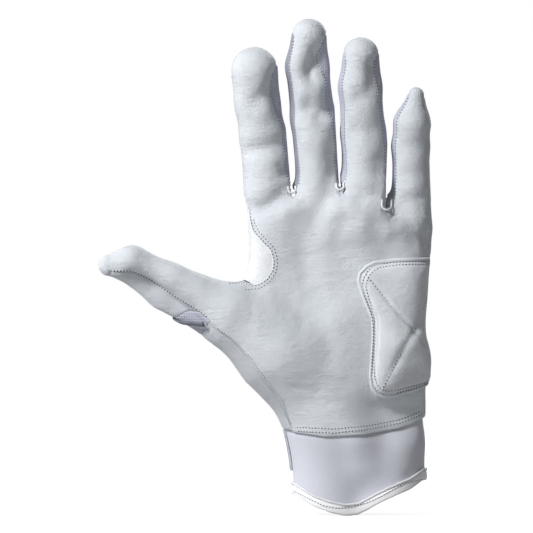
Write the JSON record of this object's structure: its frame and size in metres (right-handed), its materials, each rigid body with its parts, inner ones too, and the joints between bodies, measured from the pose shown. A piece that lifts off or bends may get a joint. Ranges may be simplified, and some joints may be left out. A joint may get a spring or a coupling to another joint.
{
  "type": "batting glove",
  "caption": "Left-hand leather batting glove standing upright as worn, with a padded heel patch, thumb web gusset, stretch panels, hemmed cuff and a peel-off wrist strap.",
  "frame": {"origin": "centre of the wrist opening, level with the side seams at the hem", "axes": "+Z towards the fingertips, -Y out of the palm, -X towards the thumb"},
  "size_m": [0.1599, 0.0545, 0.237],
  "materials": {
    "palm_leather": "smooth white leather with a fine grain, matt",
    "back_leather": "smooth light grey synthetic leather, matt",
    "gusset_leather": "soft white leather, matt",
    "stretch_fabric": "fine lavender-grey four-way stretch knit",
    "neoprene": "pale lavender-grey knit-faced neoprene, matt",
    "dark_trim": "dark grey moulded trim, satin",
    "fastener": "light grey hook and loop tape",
    "foam": "open-cell foam, hidden"
  },
  "bodies": {
    "hand": {"palm_leather": "palm_leather", "thumb_web_gusset": "gusset_leather", "heel_patch_foam": "foam", "heel_patch_cover": "palm_leather", "crotch_gusset_index_middle": "stretch_fabric", "crotch_gusset_middle_ring": "stretch_fabric", "crotch_gusset_ring_little": "stretch_fabric", "ring_side_gusset": "stretch_fabric", "index_knuckle_flex": "stretch_fabric", "middle_knuckle_flex": "stretch_fabric", "ring_knuckle_flex": "stretch_fabric", "little_knuckle_flex": "stretch_fabric", "back_panel": "back_leather", "thumb_base_back": "back_leather", "wrist_cuff": "neoprene", "cuff_vent_gusset": "stretch_fabric", "hem_binding": "gusset_leather", "hem_piping": "gusset_leather", "strap_anchor": "back_leather", "loop_patch": "fastener"},
    "index": {"index_front": "palm_leather", "index_back": "back_leather", "index_fourchette_right": "stretch_fabric"},
    "middle": {"middle_front": "palm_leather", "middle_back": "back_leather", "middle_fourchette_left": "stretch_fabric", "middle_fourchette_right": "stretch_fabric"},
    "ring": {"ring_front": "palm_leather", "ring_back": "back_leather", "ring_fourchette_left": "stretch_fabric", "ring_fourchette_right": "stretch_fabric"},
    "little": {"little_front": "palm_leather", "little_back": "back_leather", "little_fourchette_left": "stretch_fabric"},
    "thumb": {"thumb_front": "palm_leather", "thumb_back_tip": "back_leather", "thumb_knuckle_flex": "stretch_fabric", "thumb_flex_trim": "dark_trim"},
    "strap": {"closure_strap": "back_leather", "hook_patch": "fastener"}
  },
  "joints": [
    {"name": "index_curl", "type": "hinge", "parent": "hand", "child": "index", "pos_m": [-0.04344, -0.01252, 0.14828], "axis": [0.9935, 0, 0.1135], "range_deg": [0, 60]},
    {"name": "middle_curl", "type": "hinge", "parent": "hand", "child": "middle", "pos_m": [-0.01899, -0.01243, 0.14993], "axis": [0.9943, 0, 0.1069], "range_deg": [0, 60]},
    {"name": "ring_curl", "type": "hinge", "parent": "hand", "child": "ring", "pos_m": [0.00377, -0.01311, 0.15211], "axis": [0.9952, 0, 0.0975], "range_deg": [0, 60]},
    {"name": "little_curl", "type": "hinge", "parent": "hand", "child": "little", "pos_m": [0.02476, -0.00971, 0.14149], "axis": [0.9994, 0, -0.035], "range_deg": [0, 60]},
    {"name": "thumb_curl", "type": "hinge", "parent": "hand", "child": "thumb", "pos_m": [-0.06866, -0.02463, 0.09161], "axis": [0.4483, 0, 0.8939], "range_deg": [0, 45]},
    {"name": "strap_peel", "type": "hinge", "parent": "hand", "child": "strap", "pos_m": [-0.0349, 0.0068, 0.024], "axis": [-0.1479, 0.029, 0.9886], "range_deg": [0, 110]}
  ]
}
